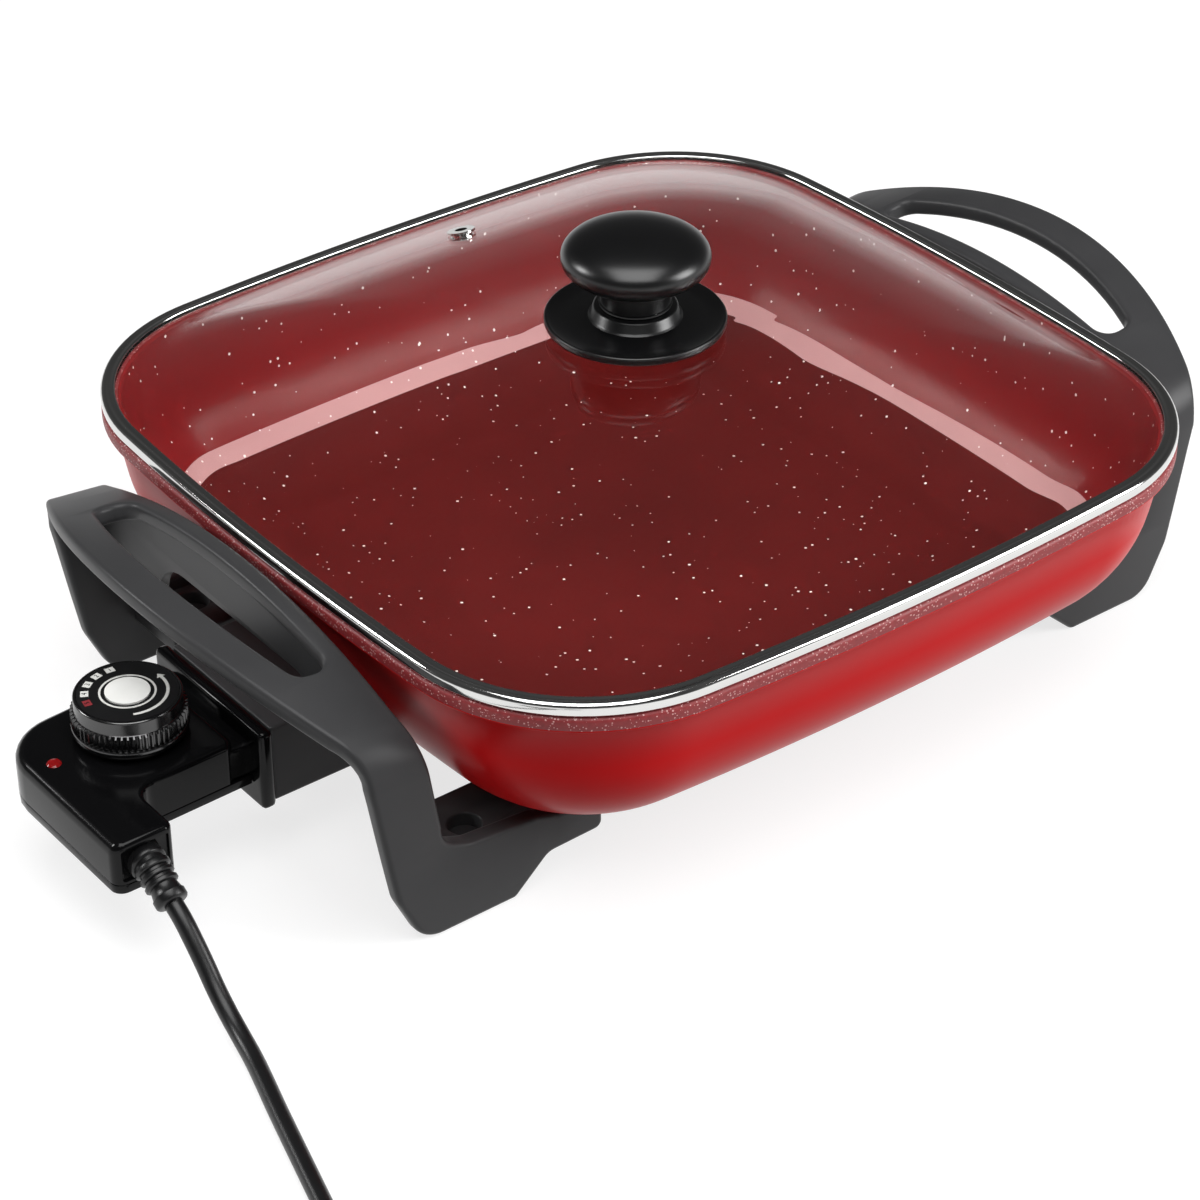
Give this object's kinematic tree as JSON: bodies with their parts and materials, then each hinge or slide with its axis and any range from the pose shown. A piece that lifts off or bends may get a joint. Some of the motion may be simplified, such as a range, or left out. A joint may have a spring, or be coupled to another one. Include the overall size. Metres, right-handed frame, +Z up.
{
  "type": "electric skillet",
  "caption": "Square electric frying pan with a domed lift-off glass lid, looped handles on legs, and a pull-out thermostat probe with a dial and mains cord.",
  "frame": {"origin": "centre of the pan in plan, on the plane of the table under the feet", "axes": "+Z up, +X from the probe towards the rear handle, +Y to the left when looking along +X"},
  "size_m": [0.5358, 0.4747, 0.1563],
  "materials": {
    "pan_enamel": "cast, with glossy red enamel",
    "element_steel": "dull sheath",
    "ceramic": "glazed ceramic",
    "plated_steel": "plated",
    "phenolic": "matt black",
    "glass": "clear",
    "rim_steel": "polished",
    "gasket": "matt",
    "gloss_black": "glossy",
    "brass": "plain",
    "sensor_metal": "satin",
    "lens_red": "clear red",
    "lamp_glass": "clear",
    "dial_print": "printed",
    "dial_white": "glossy",
    "cord_rubber": "matt",
    "tie_plastic": "matt"
  },
  "bodies": {
    "base": {"pan": "pan_enamel", "heating_element": "element_steel", "terminal_insulators": "ceramic", "terminal_pins": "plated_steel", "terminal_shroud": "phenolic", "shroud_screws": "plated_steel", "front_handle": "phenolic", "rear_handle": "phenolic", "handle_screws": "plated_steel"},
    "lid": {"lid_glass": "glass", "lid_rim": "rim_steel", "vent_eyelet": "rim_steel", "knob_gasket": "gasket", "finger_guard": "gloss_black", "lid_knob": "gloss_black", "knob_washer": "plated_steel", "knob_screw": "plated_steel"},
    "probe": {"probe_upper_shell": "gloss_black", "probe_lower_shell": "gloss_black", "probe_screws": "plated_steel", "contact_carrier": "ceramic", "contact_sleeves": "brass", "sensor_rod": "sensor_metal", "thermostat_frame": "plated_steel", "blade_stack": "ceramic", "contact_blades": "brass", "pilot_lens": "lens_red", "neon_lamp": "lamp_glass", "strain_relief": "cord_rubber", "power_cord": "cord_rubber", "cord_coil": "cord_rubber", "cord_tie": "tie_plastic", "plug_body": "cord_rubber", "plug_pins": "plated_steel"},
    "dial": {"dial_shaft": "plated_steel", "dial_knob": "gloss_black", "dial_plate": "dial_print", "dial_cap": "dial_white"}
  },
  "joints": [
    {"name": "lid_lift", "type": "slide", "parent": "base", "child": "lid", "axis": [0, 0, 1], "range_m": [0, 0.12]},
    {"name": "probe_pull", "type": "slide", "parent": "base", "child": "probe", "axis": [-1, 0, 0], "range_m": [0, 0.05]},
    {"name": "dial_turn", "type": "hinge", "parent": "probe", "child": "dial", "pos_m": [-0.1988, 0, 0.05], "axis": [0, 0, 1], "range_deg": [0, 270]}
  ]
}
